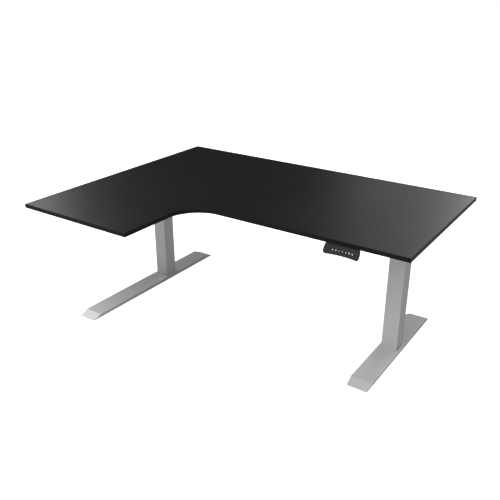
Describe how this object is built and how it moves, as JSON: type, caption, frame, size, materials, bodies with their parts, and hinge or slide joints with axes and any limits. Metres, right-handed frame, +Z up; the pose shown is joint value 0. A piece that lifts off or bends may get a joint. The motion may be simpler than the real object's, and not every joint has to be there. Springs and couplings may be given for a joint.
{
  "type": "height adjustable corner desk",
  "caption": "L-shaped sit-stand desk: black corner worktop on silver telescopic columns with long flat feet, an under-frame and a push-button handset.",
  "frame": {"origin": "on the floor, under the centre of the worktop's 1600 x 1200 mm outline, desk fully lowered", "axes": "+X to the user's right along the back edge, +Y to the back edge, +Z up; the user sits on the -Y side and the wing points to -Y on the left"},
  "size_m": [1.6, 1.2, 0.62],
  "materials": {
    "black_laminate": "satin melamine on chipboard",
    "black_edge_band": "satin ABS strip",
    "silver_powder_coat": "satin powder coat",
    "black_powder_coat": "fine-texture powder coat",
    "motor_black": "satin enamel",
    "cast_alloy": "bead-blasted casting",
    "bright_steel": "zinc plated",
    "grey_nylon": "moulded nylon",
    "black_plastic": "fine spark-eroded moulding texture",
    "handset_face": "satin moulding",
    "handset_keys": "satin moulding with printed signs",
    "circuit_board": "solder mask",
    "black_rubber": "moulded",
    "cable_black": "satin sleeve"
  },
  "bodies": {
    "base": {"left_foot": "silver_powder_coat", "left_base_plate": "bright_steel", "left_base_screw": "bright_steel", "left_outer_tube": "silver_powder_coat", "left_outer_collar": "grey_nylon", "right_foot": "silver_powder_coat", "right_base_plate": "bright_steel", "right_base_screw": "bright_steel", "right_outer_tube": "silver_powder_coat", "right_outer_collar": "grey_nylon"},
    "top": {"desktop": "black_laminate", "edge_band": "black_edge_band", "front_rail": "black_powder_coat", "rear_rail": "black_powder_coat", "wing_rail": "black_powder_coat", "control_box": "black_plastic", "mains_inlet": "black_plastic", "handset_cable": "cable_black", "cable_clip_1": "black_plastic", "cable_clip_2": "black_plastic", "cable_clip_3": "black_plastic", "cable_clip_4": "black_plastic", "handset_housing": "black_plastic", "handset_panel": "handset_face", "handset_circuit_board": "circuit_board", "left_lift_nut": "grey_nylon", "left_inner_tube": "silver_powder_coat", "left_gearbox": "cast_alloy", "left_motor": "motor_black", "left_side_bracket": "black_powder_coat", "left_motor_cable": "cable_black", "right_lift_nut": "grey_nylon", "right_inner_tube": "silver_powder_coat", "right_gearbox": "cast_alloy", "right_motor": "motor_black", "right_side_bracket": "black_powder_coat", "right_motor_cable": "cable_black"},
    "left_middle_stage": {"left_middle_carrier": "grey_nylon", "left_middle_tube": "silver_powder_coat", "left_middle_collar": "grey_nylon"},
    "left_spindle_sleeve": {"left_spindle": "bright_steel"},
    "left_drive_shaft": {"left_drive_tube": "bright_steel"},
    "left_front_foot_glide": {"left_front_glide": "black_rubber"},
    "left_rear_foot_glide": {"left_rear_glide": "black_rubber"},
    "right_middle_stage": {"right_middle_carrier": "grey_nylon", "right_middle_tube": "silver_powder_coat", "right_middle_collar": "grey_nylon"},
    "right_spindle_sleeve": {"right_spindle": "bright_steel"},
    "right_drive_shaft": {"right_drive_tube": "bright_steel"},
    "right_front_foot_glide": {"right_front_glide": "black_rubber"},
    "right_rear_foot_glide": {"right_rear_glide": "black_rubber"},
    "up_key": {"key_up": "handset_keys"},
    "down_key": {"key_down": "handset_keys"},
    "one_key": {"key_one": "handset_keys"},
    "two_key": {"key_two": "handset_keys"},
    "three_key": {"key_three": "handset_keys"},
    "memory_key": {"key_memory": "handset_keys"},
    "lock_key": {"key_lock": "handset_keys"}
  },
  "joints": [
    {"name": "desk_lift", "type": "slide", "parent": "base", "child": "top", "axis": [0, 0, 1], "range_m": [0, 0.65]},
    {"name": "left_middle_lift", "type": "slide", "parent": "base", "child": "left_middle_stage", "axis": [0, 0, 1], "range_m": [0, 0.325]},
    {"name": "left_spindle_turn", "type": "hinge", "parent": "left_middle_stage", "child": "left_spindle_sleeve", "pos_m": [-0.6882, 0.152, 0.2], "axis": [0, 0, 1], "range_deg": [0, 9000.5]},
    {"name": "left_drive_turn", "type": "hinge", "parent": "top", "child": "left_drive_shaft", "pos_m": [-0.6882, 0.152, 0.2], "axis": [0, 0, 1], "range_deg": [0, 9000.5]},
    {"name": "left_front_glide_screw", "type": "slide", "parent": "base", "child": "left_front_foot_glide", "axis": [0, 0, -1], "range_m": [0, 0.008]},
    {"name": "left_rear_glide_screw", "type": "slide", "parent": "base", "child": "left_rear_foot_glide", "axis": [0, 0, -1], "range_m": [0, 0.008]},
    {"name": "right_middle_lift", "type": "slide", "parent": "base", "child": "right_middle_stage", "axis": [0, 0, 1], "range_m": [0, 0.325]},
    {"name": "right_spindle_turn", "type": "hinge", "parent": "right_middle_stage", "child": "right_spindle_sleeve", "pos_m": [0.6387, 0.152, 0.2], "axis": [0, 0, 1], "range_deg": [0, 9000.5]},
    {"name": "right_drive_turn", "type": "hinge", "parent": "top", "child": "right_drive_shaft", "pos_m": [0.6387, 0.152, 0.2], "axis": [0, 0, 1], "range_deg": [0, 9000.5]},
    {"name": "right_front_glide_screw", "type": "slide", "parent": "base", "child": "right_front_foot_glide", "axis": [0, 0, -1], "range_m": [0, 0.008]},
    {"name": "right_rear_glide_screw", "type": "slide", "parent": "base", "child": "right_rear_foot_glide", "axis": [0, 0, -1], "range_m": [0, 0.008]},
    {"name": "up_key_press", "type": "slide", "parent": "top", "child": "up_key", "axis": [0, 0.866, -0.5], "range_m": [0, 0.0005], "stiffness_N_per_m": 1200, "springref_m": -0.0006},
    {"name": "down_key_press", "type": "slide", "parent": "top", "child": "down_key", "axis": [0, 0.866, -0.5], "range_m": [0, 0.0005], "stiffness_N_per_m": 1200, "springref_m": -0.0006},
    {"name": "one_key_press", "type": "slide", "parent": "top", "child": "one_key", "axis": [0, 0.866, -0.5], "range_m": [0, 0.0005], "stiffness_N_per_m": 1200, "springref_m": -0.0006},
    {"name": "two_key_press", "type": "slide", "parent": "top", "child": "two_key", "axis": [0, 0.866, -0.5], "range_m": [0, 0.0005], "stiffness_N_per_m": 1200, "springref_m": -0.0006},
    {"name": "three_key_press", "type": "slide", "parent": "top", "child": "three_key", "axis": [0, 0.866, -0.5], "range_m": [0, 0.0005], "stiffness_N_per_m": 1200, "springref_m": -0.0006},
    {"name": "memory_key_press", "type": "slide", "parent": "top", "child": "memory_key", "axis": [0, 0.866, -0.5], "range_m": [0, 0.0005], "stiffness_N_per_m": 1200, "springref_m": -0.0006},
    {"name": "lock_key_press", "type": "slide", "parent": "top", "child": "lock_key", "axis": [0, 0.866, -0.5], "range_m": [0, 0.0005], "stiffness_N_per_m": 1200, "springref_m": -0.0006}
  ],
  "couplings": [
    {"joint": "left_middle_lift", "follows": "desk_lift", "ratio": 0.5},
    {"joint": "left_spindle_turn", "follows": "desk_lift", "rad_per_m": 241.66},
    {"joint": "left_drive_turn", "follows": "desk_lift", "rad_per_m": 241.66},
    {"joint": "right_middle_lift", "follows": "desk_lift", "ratio": 0.5},
    {"joint": "right_spindle_turn", "follows": "desk_lift", "rad_per_m": 241.66},
    {"joint": "right_drive_turn", "follows": "desk_lift", "rad_per_m": 241.66}
  ]
}
